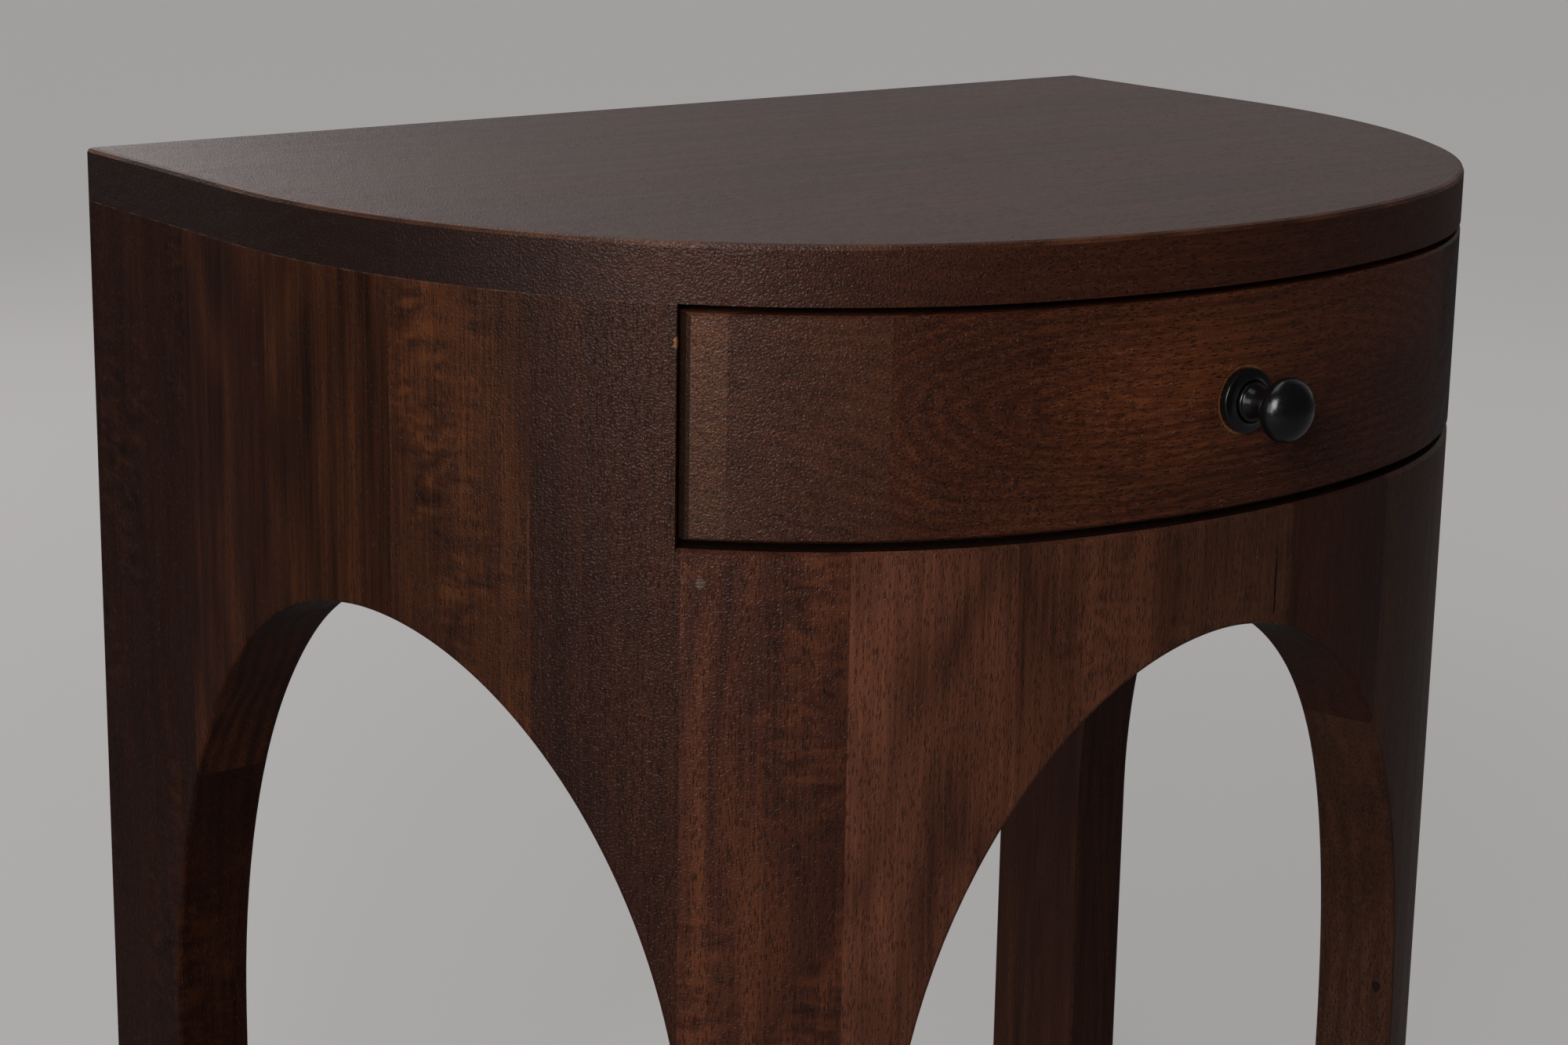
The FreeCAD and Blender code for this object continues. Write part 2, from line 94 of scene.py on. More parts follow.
# Noise layers of the wood: scale per metre, stretch along the grain, detail
RIBBON = (150.0, 34.0, 3.0)
FIBRE = (1100.0, 40.0, 2.0)
CLOUD = (13.0, 3.0, 2.0)
RING_WARP = (11.0, 3.0, 2.0)
CURL_PATCH = (26.0, 2.0, 2.0)
CURL_PATCH_EDGE = (0.42, 0.62)

# Ripples of curly grain: scale per metre, stretch across the grain, detail, swirl
CURL = (170.0, 2.4, 4.0, 0.8)

# Strokes along the grain: scale per metre, stretch, full and outer radius in a cell
PORES = (1400.0, 7.0, 0.20, 0.42)
FLECKS = (1250.0, 3.5, 0.08, 0.26)
FLECK_SHARE = 0.18

# The dark and the light part of a growth ring, and the share of the pores left out of each
RING_PARTS = (0.1, 0.9)
PORES_LEFT_OUT = (0.50, 0.0)

# How squarely a face has to cross the grain to darken, and how far it does
END_FACING = (0.72, 0.99)
END_STRENGTH = 0.9

# Relief and coat of the lacquered surface
PEEL_NOISE = (1100.0, 1.0)
PORE_DEPTH = -0.35
FIBRE_HEIGHT = 0.2
RELIEF_STRENGTH = 0.9
RELIEF_DEPTH = 0.0004
COAT_ROUGHNESS = 0.22
LEVEL_FACING = (0.9, 0.999)

# The middle of a noise's range, over which gloss varies
NOISE_MIDDLE = (0.3, 0.7)

# A plain board: weights of its layers, its growth rings in metres, and its lacquer
PLAIN_BOARD = {
    "ribbon": 0.35,
    "fibre": 0.4,
    "cloud": 0.35,
    "rings": 0.06,
    "curl": 0.0,
    "pores": 0.7,
    "flecks": 0.12,
    "pith": (0.0, 0.1),
    "ring_step": 0.007,
    "sway": 0.05,
    "gloss": (0.48, 0.60),
    "density": 1.12,
    "coat": 0.18,
    "side_coat": None,
}

# The rim of the top: upward part of the normal at its side and its eased edge, darkening and wear
SIDE_FACING = (0.6, 0.1)
RIM_DARKER = 0.1
EDGE_ABOVE_SIDE = (0.1, 0.35)
EDGE_BELOW_FACE = (0.99, 0.96)
WEAR_NOISE = (30.0, 3.0)
WEAR_RANGE = (0.42, 0.66)
WEAR_SHARE = (0.05, 0.6)

# The warm patch on the drawer: mapping to a unit circle, uneven outline and gain in colour
PATCH_SHIFT = (0.75, 0.0, -16.4)
PATCH_SCALE = (17.0, 0.0, 30.0)
PATCH_NOISE = (45.0, 3.0)
PATCH_UNEVEN = 0.9
PATCH_EDGE = (1.7, 0.5)
PATCH_GAIN = (1.75, 1.7, 1.4)

# The seam under the top, the halo round the backplate and the small marks
SEAM_LINE = (WALL_TOP - 0.0006, WALL_TOP - 0.0002)
SEAM_NOISE = (160.0, 2.0)
SEAM_RANGE = (0.4, 0.65)
SEAM_SHARE = (0.15, 0.8)
HALO_EDGE = (PLATE_RADIUS + 0.0011, PLATE_RADIUS + 0.0005)
MARK_NOISE = (600.0, 2.0)
MARK_EDGE = (1.6, 1.2)

# Mottling of the knob, the screw and the glides
MOTTLE_DETAIL = 3.0
MOTTLE_DARK = 0.7
MOTTLE_STRENGTH = 0.12
MOTTLE_DEPTH = 0.0002

# The floor: half its width, its tints, and its glow near the table and far from it
FLOOR_HALF = 20
FLOOR_NOISE = (1.5, 2.0)
FLOOR_TINTS = ((0.165, 0.158, 0.158, 1.0), (0.175, 0.168, 0.168, 1.0))
FLOOR_ROUGHNESS = 0.9
FLOOR_REACH = (0.5, 2.8)
FLOOR_GLOW = (0.24, 0.32)
MIRRORED_SHARE = 0.10

# The room: its colour, the direction of the far wall, and the glow away from it and on it
STUDIO_WHITE = (1.0, 0.96, 0.96, 1.0)
FAR_WALL = (0.58, 0.76, 0.29)
FAR_WALL_EDGE = (0.4, 0.9)
ROOM_GLOW = (0.055, 0.34)

# Lamps: place, width and height in metres, and power in watts
LAMP_TARGET = (0.0, 0.0, 0.42)
LAMPS = {
    "key": ((-1.75, -1.25, 1.35), (0.9, 1.1), 46.0),
    "overhead": ((-0.3, 0.5, 2.4), (1.6, 1.4), 14.0),
    "back": ((-0.2, 2.4, 1.8), (2.6, 2.0), 26.0),
    "side": ((-2.2, -0.35, 0.95), (0.9, 1.1), 9.0),
    "fill": ((2.4, -0.25, 1.1), (1.5, 1.2), 14.0),
    "window": ((-1.90, -0.95, 0.62), (0.35, 0.45), 5.0),
}


def add(tree, kind, values=None, **settings):
    node = tree.nodes.new("ShaderNode" + kind)
    for key, value in settings.items():
        setattr(node, key, value)
    for key, value in (values or {}).items():
        plug(tree, node.inputs[key], value)
    return node


def plug(tree, socket, value):
    if isinstance(value, bpy.types.NodeSocket):
        tree.links.new(value, socket)
    else:
        socket.default_value = value


def maths(tree, operation, *values):
    node = add(tree, "Math", dict(enumerate(values)), operation=operation)
    return node.outputs[0]


def vectors(tree, operation, *values):
    return add(tree, "VectorMath", dict(enumerate(values)), operation=operation).outputs


def ramp_between(tree, value, low, high, to_low=0.0, to_high=1.0):
    node = add(tree, "MapRange", {0: value, 1: low, 2: high, 3: to_low, 4: to_high})
    node.interpolation_type = "SMOOTHSTEP"
    return node.outputs[0]


def mixed(tree, factor, first, second):
    node = add(tree, "Mix", {0: factor, 6: first, 7: second}, data_type="RGBA")
    return node.outputs[2]


def tinted(tree, colour, area, weight, tint):
    return mixed(tree, maths(tree, "MULTIPLY", area, weight), colour, tint)


def new_material(name):
    material = bpy.data.materials.new(name)
    material.use_nodes = True
    return material, material.node_tree, material.node_tree.nodes["Principled BSDF"]


def object_place(tree):
    return add(tree, "TexCoord").outputs["Object"]


def grain_coordinates(tree, grain, seed):
    # Object coordinates turned so that the grain runs along Z, shifted to another part of the tree
    parts = add(tree, "SeparateXYZ", {0: object_place(tree)}).outputs
    order = {"X": (1, 2, 0), "Y": (2, 0, 1), "Z": (0, 1, 2)}[grain]
    turned = add(tree, "CombineXYZ", {i: parts[k] for i, k in enumerate(order)}).outputs[0]
    shift = tuple(seed * step for step in SEED_SHIFT)
    return add(tree, "Mapping", {"Vector": turned, "Location": shift}).outputs[0]


def stretched(tree, place, along, across=1.0):
    scale = (1 / across, 1 / across, 1 / along)
    return add(tree, "Mapping", {"Vector": place, "Scale": scale}).outputs[0]


def noise(tree, place, scale, detail, swirl=0.0):
    values = {"Vector": place, "Scale": scale, "Detail": detail, "Distortion": swirl}
    return add(tree, "TexNoise", values).outputs["Fac"]


def noise_layer(tree, place, scale, along, detail):
    return noise(tree, stretched(tree, place, along), scale, detail)


def growth_rings(tree, place, pith, step, sway):
    # Rings about a pith that runs along the grain, warped slowly
    flat = vectors(tree, "MULTIPLY", place, (1.0, 1.0, 0.0))[0]
    reach = vectors(tree, "DISTANCE", flat, (*pith, 0.0))["Value"]
    warp = noise_layer(tree, place, *RING_WARP)
    radius = maths(tree, "MULTIPLY_ADD", warp, sway, reach)
    wave = maths(tree, "SINE", maths(tree, "MULTIPLY", radius, math.tau / step))
    return maths(tree, "MULTIPLY_ADD", wave, 0.5, 0.5)


def curled(tree, place):
    # Short ripples across the grain, in patches
    scale, across, detail, swirl = CURL
    ripple = noise(tree, stretched(tree, place, 1.0, across), scale, detail, swirl)
    patch = ramp_between(tree, noise_layer(tree, place, *CURL_PATCH), *CURL_PATCH_EDGE)
    return maths(tree, "MULTIPLY_ADD", maths(tree, "SUBTRACT", ripple, 0.5), patch, 0.5)


def dashes(tree, place, scale, along, full, outer):
    # Short strokes along the grain, and a random number for each stroke
    cells = add(tree, "TexVoronoi", {"Vector": stretched(tree, place, along), "Scale": scale})
    stroke = ramp_between(tree, cells.outputs["Distance"], full, outer, 1.0, 0.0)
    lot = add(tree, "SeparateColor", {0: cells.outputs["Color"]}).outputs[0]
    return stroke, lot


def board_layers(tree, place, seed, look):
    # The layers of a board's figure, by the names of their weights
    pith = tuple(part + seed * step for part, step in zip(look["pith"], SEED_SHIFT))
    layers = {
        "ribbon": noise_layer(tree, place, *RIBBON),
        "fibre": noise_layer(tree, place, *FIBRE),
        "cloud": noise_layer(tree, place, *CLOUD),
        "rings": growth_rings(tree, place, pith, look["ring_step"], look["sway"]),
    }
    if look["curl"]:
        layers["curl"] = curled(tree, place)
    return layers


def summed(tree, layers, look):
    # Adds the weighted layers about a middle value of one half
    figure = 0.5 - 0.5 * sum(look[name] for name in layers)
    for name, layer in layers.items():
        figure = maths(tree, "MULTIPLY_ADD", layer, look[name], figure)
    return figure


def toned(tree, figure, tone, shade):
    ramp = add(tree, "ValToRGB", {"Fac": figure})
    dark, middle, light = TONE_STOPS
    ramp.color_ramp.elements[0].position = dark
    ramp.color_ramp.elements[1].position = light
    ramp.color_ramp.elements.new(middle)
    for element, colours in zip(ramp.color_ramp.elements, TONES[tone]):
        element.color = (*(shade * part for part in colours), 1.0)
    return ramp.outputs["Color"]


def pore_strokes(tree, place, ring):
    # Pores, fewer of them in the dark part of each growth ring
    stroke, lot = dashes(tree, place, *PORES)
    left_out = ramp_between(tree, ring, *RING_PARTS, *PORES_LEFT_OUT)
    return maths(tree, "MULTIPLY", stroke, maths(tree, "GREATER_THAN", lot, left_out))


def glint_flecks(tree, place):
    # Pale flecks in a few of the cells, partly pale dust in the pores and partly painted glints of light
    dot, lot = dashes(tree, place, *FLECKS)
    return maths(tree, "MULTIPLY", dot, maths(tree, "LESS_THAN", lot, FLECK_SHARE))


def end_darkened(tree, colour, along):
    # Faces that cross the grain are darker
    facing = maths(tree, "ABSOLUTE", along)
    return mixed(tree, ramp_between(tree, facing, *END_FACING, 0.0, END_STRENGTH), colour, END_GRAIN)


def relief(tree, place, stroke, thread):
    # Orange peel in the lacquer, with the pores sunk and the fibres raised
    height = noise(tree, place, *PEEL_NOISE)
    height = maths(tree, "MULTIPLY_ADD", stroke, PORE_DEPTH, height)
    height = maths(tree, "MULTIPLY_ADD", thread, FIBRE_HEIGHT, height)
    values = {"Height": height, "Strength": RELIEF_STRENGTH, "Distance": RELIEF_DEPTH}
    return add(tree, "Bump", values).outputs["Normal"]


def lacquer(tree, shader, look, streak, bump, up):
    # A thin coat over the wood, of another weight on the sides where the board asks for it
    plug(tree, shader.inputs["Normal"], bump)
    plug(tree, shader.inputs["Coat Normal"], bump)
    plug(tree, shader.inputs["Roughness"], ramp_between(tree, streak, *NOISE_MIDDLE, *look["gloss"]))
    shader.inputs["IOR"].default_value = look["density"]
    shader.inputs["Coat Roughness"].default_value = COAT_ROUGHNESS
    shader.inputs["Coat Weight"].default_value = look["coat"]
    if look["side_coat"] is not None:
        weight = ramp_between(tree, up, *LEVEL_FACING, look["side_coat"], look["coat"])
        plug(tree, shader.inputs["Coat Weight"], weight)


def wood(name, grain, seed, tone, shade=1.0, extras=(), **changes):
    # One board's material, from its figure to its lacquer
    look = PLAIN_BOARD | changes
    material, tree, shader = new_material(name)
    place = grain_coordinates(tree, grain, seed)
    layers = board_layers(tree, place, seed, look)
    stroke = pore_strokes(tree, place, layers["rings"])
    normal = add(tree, "SeparateXYZ", {0: add(tree, "NewGeometry").outputs["True Normal"]}).outputs
    colour = toned(tree, summed(tree, layers, look), tone, shade)
    colour = tinted(tree, colour, stroke, look["pores"], PORE_DARK)
    # Pale flecks over it, partly dust and partly painted glints of light
    colour = tinted(tree, colour, glint_flecks(tree, place), look["flecks"], GLINT_FLECK_PALE)
    if tone not in UNSTAINED:
        colour = end_darkened(tree, colour, normal["XYZ".index(grain)])
    # Extras share one call: the tree, the colour so far and the parts of the normal
    for extra in extras:
        colour = extra(tree, colour, normal)
    plug(tree, shader.inputs["Base Color"], colour)
    bump = relief(tree, place, stroke, layers["fibre"])
    lacquer(tree, shader, look, layers["ribbon"], bump, normal[2])
    return material


def dark_rim(tree, colour, normal):
    # The sawn edge of the top is darker than its face
    side = ramp_between(tree, normal[2], *SIDE_FACING)
    return tinted(tree, colour, side, RIM_DARKER, END_GRAIN)


def warm_patch(tree, colour, normal):
    # An orange, figured patch left of the knob
    place = object_place(tree)
    values = {"Vector": place, "Location": PATCH_SHIFT, "Scale": PATCH_SCALE}
    reach = vectors(tree, "LENGTH", add(tree, "Mapping", values).outputs[0])["Value"]
    uneven = maths(tree, "MULTIPLY_ADD", noise(tree, place, *PATCH_NOISE), PATCH_UNEVEN, reach)
    brighter = vectors(tree, "MULTIPLY", colour, PATCH_GAIN)[0]
    return mixed(tree, ramp_between(tree, uneven, *PATCH_EDGE), colour, brighter)


def worn_rim(tree, colour, normal):
    # The eased upper edge of the top is rubbed lighter in places
    above_side = ramp_between(tree, normal[2], *EDGE_ABOVE_SIDE)
    below_face = ramp_between(tree, normal[2], *EDGE_BELOW_FACE)
    slope = maths(tree, "MULTIPLY", above_side, below_face)
    spots = noise(tree, object_place(tree), *WEAR_NOISE)
    patchy = ramp_between(tree, spots, *WEAR_RANGE, *WEAR_SHARE)
    return tinted(tree, colour, slope, patchy, WORN_EDGE)


def pale_seam(tree, colour, normal):
    # A thin pale line, in patches, where the wall meets the top
    place = object_place(tree)
    height = add(tree, "SeparateXYZ", {0: place}).outputs[2]
    line = ramp_between(tree, height, *SEAM_LINE)
    patchy = ramp_between(tree, noise(tree, place, *SEAM_NOISE), *SEAM_RANGE, *SEAM_SHARE)
    return tinted(tree, colour, line, patchy, SEAM_PALE)


def knob_halo(tree, colour, normal):
    # Bare wood shows in a thin ring round the backplate
    flat = vectors(tree, "MULTIPLY", object_place(tree), (1.0, 0.0, 1.0))[0]
    reach = vectors(tree, "DISTANCE", flat, (0.0, 0.0, KNOB_Z))["Value"]
    return mixed(tree, ramp_between(tree, reach, *HALO_EDGE), colour, RAW_WOOD)


def mark(centre, reach, tint):
    # A small uneven spot at a place on a board, such as a chip or a knot
    shrink = tuple(1 / part for part in reach)
    shift = tuple(-part * scale for part, scale in zip(centre, shrink))

    def draw(tree, colour, normal):
        place = object_place(tree)
        values = {"Vector": place, "Location": shift, "Scale": shrink}
        away = vectors(tree, "LENGTH", add(tree, "Mapping", values).outputs[0])["Value"]
        uneven = maths(tree, "ADD", noise(tree, place, *MARK_NOISE), away)
        return mixed(tree, ramp_between(tree, uneven, *MARK_EDGE), colour, tint)

    return draw


def metal(name, colour, metallic, gloss, scale, density=1.5):
    # A finely mottled surface for the knob, the screw and the glides
    material, tree, shader = new_material(name)
    grain = noise(tree, object_place(tree), scale, MOTTLE_DETAIL)
    darker = tuple(MOTTLE_DARK * part for part in colour)
    plug(tree, shader.inputs["Base Color"], mixed(tree, grain, (*darker, 1.0), (*colour, 1.0)))
    plug(tree, shader.inputs["Roughness"], ramp_between(tree, grain, *NOISE_MIDDLE, *gloss))
    bump = add(tree, "Bump", {"Height": grain, "Strength": MOTTLE_STRENGTH, "Distance": MOTTLE_DEPTH})
    plug(tree, shader.inputs["Normal"], bump.outputs["Normal"])
    shader.inputs["Metallic"].default_value = metallic
    shader.inputs["IOR"].default_value = density
    return material


def paint(node, material):
    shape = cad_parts[node]
    shape.data.materials.clear()
    shape.data.materials.append(material)


def stave_marks():
    # A chip, a spot of filler, a hairline crack and a knot, by stave
    return {
        "stave_left_4": mark((-0.2068, -0.1086, 0.5735), (0.0013, 0.0013, 0.0027), RAW_WOOD),
        "stave_left_3": mark((-0.2004, -0.1155, 0.4849), (0.0019, 0.0019, 0.0022), FILLER_PALE),
        "stave_front_centre": mark((0.0232, -0.1870, 0.4660), (0.0007, 0.0040, 0.0170), PORE_DARK),
        "stave_right_2": mark((0.1362, -0.1525, 0.2600), (0.0020, 0.0020, 0.0030), END_GRAIN),
    }


def finish_staves():
    # Tone, shade and figure of each stave
    staves = {
        "stave_front_centre": ("umber", 0.92, {"ribbon": 0.4, "cloud": 0.9, "curl": 0.5}),
        "stave_left_1": ("chestnut", 1.10, {"ribbon": 0.3, "cloud": 1.0, "curl": 0.5, "rings": 0.12}),
        # Stave left 2 is lighter partly in its own tone and partly as a painted sheen
        "stave_left_2": ("chestnut", 1.50, {"ribbon": 0.3, "rings": 0.12, "pores": 0.6}),
        "stave_left_3": ("red", 1.14, {"ribbon": 0.25, "rings": 0.15, "cloud": 0.5, "curl": 0.9,
                                       "pith": (-0.08, -0.08)}),
        "stave_left_4": ("red", 0.64, {"ribbon": 0.3, "flecks": 0.2}),
        "stave_left_5": ("orange", 0.80, {"ribbon": 0.2, "curl": 0.8, "cloud": 0.6, "coat": 0.15}),
        "stave_left_6": ("orange", 0.62, {"ribbon": 0.6, "rings": 0.1, "coat": 0.10}),
        "stave_left_7": ("red", 0.62, {"ribbon": 0.5, "rings": 0.2, "coat": 0.06}),
        "stave_left_8": ("red", 0.42, {"ribbon": 0.3, "curl": 0.9, "coat": 0.04}),
        "stave_right_1": ("red", 0.75, {"ribbon": 0.3}),
        "stave_right_2": ("umber", 0.60, {"ribbon": 0.4}),
        "stave_right_3": ("umber", 0.75, {"ribbon": 0.4, "rings": 0.1}),
        "stave_right_4": ("red", 0.90, {"ribbon": 0.4}),
        "stave_right_5": ("plum", 1.10, {"ribbon": 0.3, "curl": 0.7}),
        # The back right leg's staves are toned lighter partly in their own tone and partly as painted
        # light, for their inner faces lie in shade
        "stave_right_6": ("brown", 1.00, {"ribbon": 0.5}),
        "stave_right_7": ("umber", 0.90, {"ribbon": 0.4, "rings": 0.1}),
        "stave_right_8": ("brown", 1.30, {"ribbon": 0.4}),
    }
    marks = stave_marks()
    for seed, (node, (tone, shade, figure)) in enumerate(staves.items(), STAVE_SEED):
        extras = (pale_seam, marks[node]) if node in marks else (pale_seam,)
        paint(node, wood(node, "Z", seed, tone, shade, extras, **figure))


def finish_top():
    boards = ("top_board_back", "top_board_middle_back", "top_board_middle_front", "top_board_front")
    polished = {"ribbon": 0.15, "cloud": 0.25, "pores": 0.8, "flecks": 0.25, "density": 1.16,
                "coat": 0.34, "side_coat": 0.17, "gloss": (0.5, 0.54)}
    for seed, node in enumerate(boards, TOP_SEED):
        paint(node, wood(node, "X", seed, "red", 0.95, (dark_rim, worn_rim), **polished))


def finish_drawer_front():
    # The centre board has close rings about a pith of its own, and the others a plainer figure
    bowed = {"ribbon": 0.2, "rings": 0.08, "cloud": 0.5, "fibre": 0.6, "flecks": 0.4}
    oval = {"ribbon": 0.2, "rings": 0.11, "cloud": 0.5, "fibre": 0.6, "pores": 0.8, "flecks": 0.3,
            "pith": (-0.182, 0.547), "ring_step": 0.0045, "sway": 0.035}
    fronts = {
        "drawer_front_centre": ("red", 1.12, (warm_patch, knob_halo), oval),
        "drawer_front_left_middle": ("chestnut", 0.84, (), bowed),
        # The right middle and right end boards are darker partly in their own tone and partly as painted
        # shade, for the light falling off towards the right
        "drawer_front_right_middle": ("brown", 0.60, (), bowed),
        "drawer_front_left_end": ("umber", 1.02, (), bowed),
        "drawer_front_right_end": ("brown", 0.50, (), bowed),
    }
    for seed, (node, (tone, shade, extras, figure)) in enumerate(fronts.items(), FRONT_SEED):
        paint(node, wood(node, "X", seed, tone, shade, extras, **figure))


def finish_inside():
    # The back rail is stained, and the drawer box, its carriage and the dowels are bare wood
    paint("back_rail", wood("back_rail", "X", RAIL_SEED, "brown"))
    bare = {"pores": 0.25, "flecks": 0.0, "gloss": (0.55, 0.7), "coat": 0.0}
    inside = {
        "bare_along_y": ("Y", ("drawer_side_left", "drawer_side_right", "runner_left", "runner_right",
                               "guide_left", "guide_right", "kicker_left", "kicker_right")),
        "bare_along_x": ("X", ("drawer_back", "stop_block_left", "stop_block_right")),
        "bare_upright": ("Z", ("top_dowels",)),
    }
    for seed, (name, (grain, nodes)) in enumerate(inside.items(), INSIDE_SEED):
        material = wood(name, grain, seed, "bare", **bare)
        for node in nodes:
            paint(node, material)
    paint("drawer_bottom", wood("drawer_bottom", "X", BOTTOM_SEED, "ply", ribbon=0.4, cloud=0.3, **bare))


def finish_fittings():
    paint("knob_screw", metal("zinc_screw", (0.45, 0.45, 0.46), 1.0, (0.3, 0.45), 600.0))
    paint("foot_glides", metal("nylon_glide", (0.10, 0.085, 0.075), 0.0, (0.5, 0.6), 900.0))


def turned_ring(mesh, out, radius):
    angles = (math.tau * k / KNOB_TURNS for k in range(KNOB_TURNS))
    spots = ((radius * math.cos(a), FRONT_Y - out, KNOB_Z + radius * math.sin(a)) for a in angles)
    return [mesh.verts.new(spot) for spot in spots]


def lathe(name, outline):
    # Turns (out, radius) points about the knob's axis, closed at both ends
    mesh = bmesh.new()
    rings = [turned_ring(mesh, out, radius) for out, radius in outline]
    for lower, upper in zip(rings, rings[1:]):
        for k in range(KNOB_TURNS):
            after = (k + 1) % KNOB_TURNS
            mesh.faces.new((lower[k], lower[after], upper[after], upper[k]))
    mesh.faces.new(rings[0])
    mesh.faces.new(rings[-1])
    bmesh.ops.recalc_face_normals(mesh, faces=mesh.faces)
    data = bpy.data.meshes.new(name)
    mesh.to_mesh(data)
    mesh.free()
    data.polygons.foreach_set("use_smooth", [True] * len(data.polygons))
    piece = bpy.data.objects.new(name, data)
    bpy.context.collection.objects.link(piece)
    return piece


def curve_value(p, q, r, s, t):
    # One coordinate of a smooth curve from q to r, whose neighbours are p and s
    slope = (r - p) * t
    bend = (2 * p - 5 * q + 4 * r - s) * t * t
    twist = (3 * q - p - 3 * r + s) * t ** 3
    return 0.5 * (2 * q + slope + bend + twist)


def smooth_outline(points):
    # A curve through the points, at even steps between them
    padded = [points[0], *points, points[-1]]
    outline = [points[0]]
    for a, b, c, d in zip(padded, padded[1:], padded[2:], padded[3:]):
        for k in range(1, OUTLINE_STEPS + 1):
            t = k / OUTLINE_STEPS
            outline.append(tuple(curve_value(p, q, r, s, t) for p, q, r, s in zip(a, b, c, d)))
    return outline


def millimetres(*points):
    return [(out / 1000, radius / 1000) for out, radius in points]


def make_knob():
    # Each outline point is the distance out from the drawer front and the radius there
    black = metal("satin_black_knob", (0.003, 0.003, 0.0032), 0.0, (0.17, 0.27), 1400.0, density=1.38)
    rim = millimetres((-0.4, 12.5), (2.3, 12.5), (2.6, 12.42), (2.75, 12.2))
    slope = millimetres((2.95, 11.6), (3.2, 10.6), (3.6, 9.6), (4.2, 8.8),
                        (4.4, 8.5), (4.2, 8.2), (3.4, 8.0), (3.0, 7.6))
    collar = millimetres((3.6, 7.0), (4.0, 7.4), (4.6, 7.65), (5.2, 7.6), (5.6, 7.3), (5.8, 6.9))
    neck = millimetres((6.0, 6.7), (7.2, 6.2), (9.2, 5.5), (11.6, 5.2),
                       (13.6, 5.6), (14.8, 6.4), (15.4, 7.4))
    bead = millimetres((15.6, 8.2), (16.0, 8.9), (16.6, 9.1), (17.1, 8.9), (17.3, 8.7))
    head = millimetres((17.5, 9.1), (18.2, 10.4), (19.5, 11.7), (21.2, 12.35), (22.8, 12.45), (24.6, 11.9),
                       (26.6, 10.5), (28.5, 8.1), (29.8, 5.2), (30.45, 2.4), (30.58, 0.2))
    backplate = lathe("knob_backplate_turned", rim + smooth_outline(slope))
    parts = (collar, neck, bead, head)
    knob = lathe("knob_turned", [point for part in parts for point in smooth_outline(part)])
    for piece, node in ((backplate, "knob_backplate"), (knob, "knob")):
        piece.data.materials.append(black)
        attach(piece, "drawer")
        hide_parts(node)


def pale_floor():
    material, tree, shader = new_material("pale_floor")
    place = object_place(tree)
    tint = noise(tree, place, *FLOOR_NOISE)
    plug(tree, shader.inputs["Base Color"], mixed(tree, tint, *FLOOR_TINTS))
    shader.inputs["Roughness"].default_value = FLOOR_ROUGHNESS
    # The floor looks a little paler to the eye and to polished metal than the light it sends back
    path = add(tree, "LightPath").outputs
    mirrored = maths(tree, "MAXIMUM", path["Is Glossy Ray"], path["Is Transmission Ray"])
    seen = maths(tree, "MULTIPLY_ADD", mirrored, MIRRORED_SHARE, path["Is Camera Ray"])
    shader.inputs["Emission Color"].default_value = STUDIO_WHITE
    away = vectors(tree, "LENGTH", place)["Value"]
    paler = ramp_between(tree, away, *FLOOR_REACH, *FLOOR_GLOW)
    plug(tree, shader.inputs["Emission Strength"], maths(tree, "MULTIPLY", seen, paler))
    return material


def make_stage():
    half = FLOOR_HALF
    corners = [(-half, -half, 0), (half, -half, 0), (half, half, 0), (-half, half, 0)]
    floor = bpy.data.meshes.new("floor")
    floor.from_pydata(corners, [], [(0, 1, 2, 3)])
    stand = bpy.data.objects.new("floor", floor)
    bpy.context.collection.objects.link(stand)
    floor.materials.append(pale_floor())


def aimed(place, target):
    place = Vector(place)
    turn = (Vector(target) - place).to_track_quat("-Z", "Y")
    return Matrix.Translation(place) @ turn.to_matrix().to_4x4()


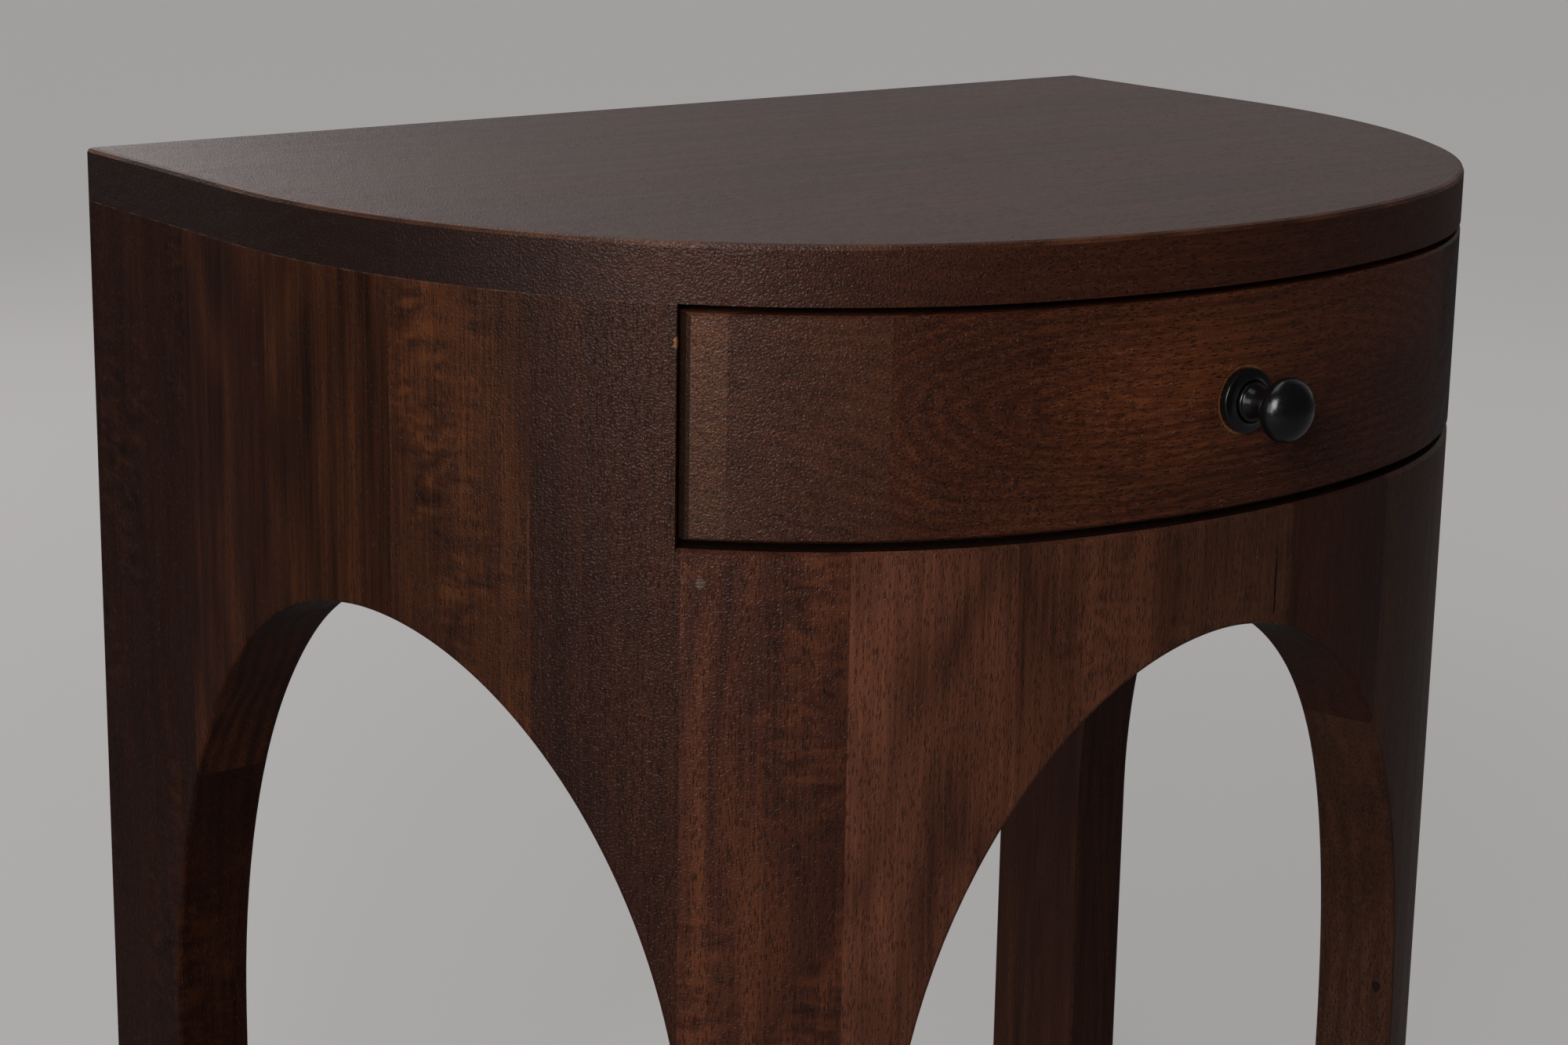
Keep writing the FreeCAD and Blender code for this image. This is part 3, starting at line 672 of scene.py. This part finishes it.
def add_lamp(name, place, size, power):
    data = bpy.data.lights.new(name, "AREA")
    data.shape = "RECTANGLE"
    data.size, data.size_y = size
    data.energy = power
    lamp = bpy.data.objects.new(name, data)
    bpy.context.collection.objects.link(lamp)
    lamp.matrix_world = aimed(place, LAMP_TARGET)
    return lamp


def make_lamps():
    # The fill lamp gives no glare, and the window lamp gives only glare
    lamps = {name: add_lamp(name, *values) for name, values in LAMPS.items()}
    lamps["fill"].visible_glossy = False
    lamps["window"].visible_diffuse = False


def make_world():
    # The far wall behind the table glows a little more than the rest of the room
    world = bpy.data.worlds.new("studio")
    bpy.context.scene.world = world
    world.use_nodes = True
    tree = world.node_tree
    direction = add(tree, "TexCoord").outputs["Generated"]
    facing = vectors(tree, "DOT_PRODUCT", direction, FAR_WALL)["Value"]
    background = tree.nodes["Background"]
    background.inputs["Color"].default_value = STUDIO_WHITE
    plug(tree, background.inputs["Strength"], ramp_between(tree, facing, *FAR_WALL_EDGE, *ROOM_GLOW))


def camera_turn():
    # The camera's right, up and back directions as a rotation
    across = math.cos(CAMERA_PITCH)
    ahead = Vector((math.sin(CAMERA_YAW) * across, math.cos(CAMERA_YAW) * across, -math.sin(CAMERA_PITCH)))
    level = Vector((math.cos(CAMERA_YAW), -math.sin(CAMERA_YAW), 0.0))
    upright = level.cross(ahead)
    right = math.cos(CAMERA_ROLL) * level + math.sin(CAMERA_ROLL) * upright
    up = math.cos(CAMERA_ROLL) * upright - math.sin(CAMERA_ROLL) * level
    return Matrix((right, up, -ahead)).transposed().to_4x4()


def make_camera():
    data = bpy.data.cameras.new("photo_camera")
    data.lens = CAMERA_LENS
    data.sensor_width = CAMERA_SENSOR
    data.shift_y = CAMERA_SHIFT
    camera = bpy.data.objects.new("photo_camera", data)
    bpy.context.collection.objects.link(camera)
    camera.matrix_world = Matrix.Translation(CAMERA_PLACE) @ camera_turn()
    bpy.context.scene.camera = camera


finish_staves()
finish_top()
finish_drawer_front()
finish_inside()
make_knob()
finish_fittings()
make_stage()
make_lamps()
make_world()
make_camera()
bpy.context.scene.view_settings.view_transform = "Standard"
